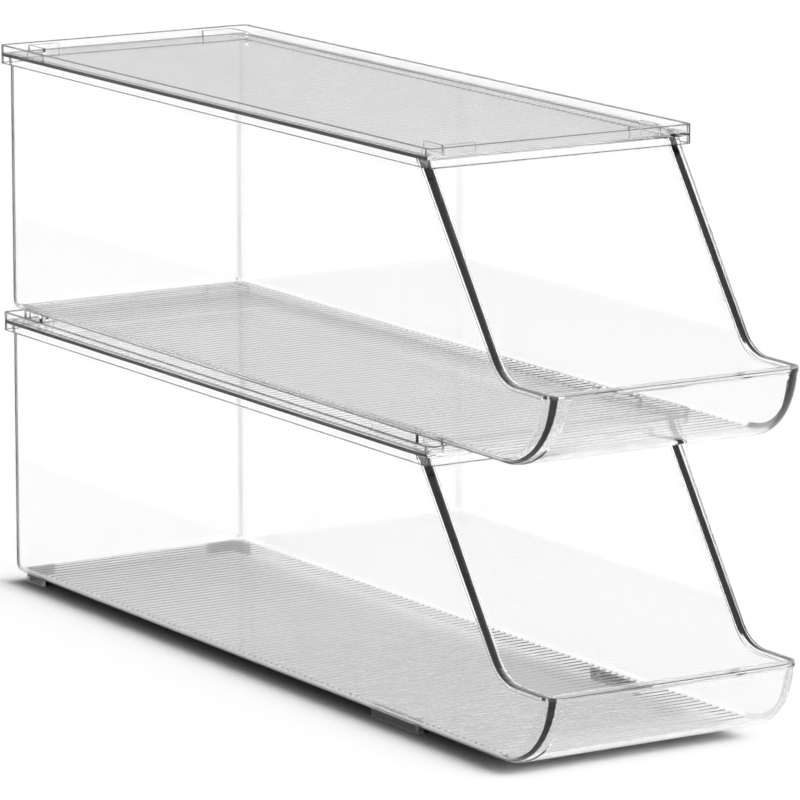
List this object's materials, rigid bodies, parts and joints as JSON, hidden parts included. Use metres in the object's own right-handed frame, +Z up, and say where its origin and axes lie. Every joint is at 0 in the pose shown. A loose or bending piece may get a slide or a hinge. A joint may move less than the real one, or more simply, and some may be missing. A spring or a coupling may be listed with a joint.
{
  "type": "stacking drinks can bin",
  "caption": "Long open-fronted clear bins with lids, one on top of the other, with sloping side edges and a curved front tray that the next drinks can rolls into",
  "frame": {"origin": "centre of the overall box on the surface that the lower feet stand on", "axes": "+Z up, the open trays face -Y, the long way is Y and the width is X"},
  "size_m": [0.148, 0.5146, 0.284],
  "materials": {
    "clear_plastic": "colourless see-through moulded plastic, glossy"
  },
  "bodies": {
    "root": {"lower_bin": "clear_plastic", "lower_lid": "clear_plastic", "upper_bin": "clear_plastic", "upper_lid": "clear_plastic"}
  },
  "joints": []
}
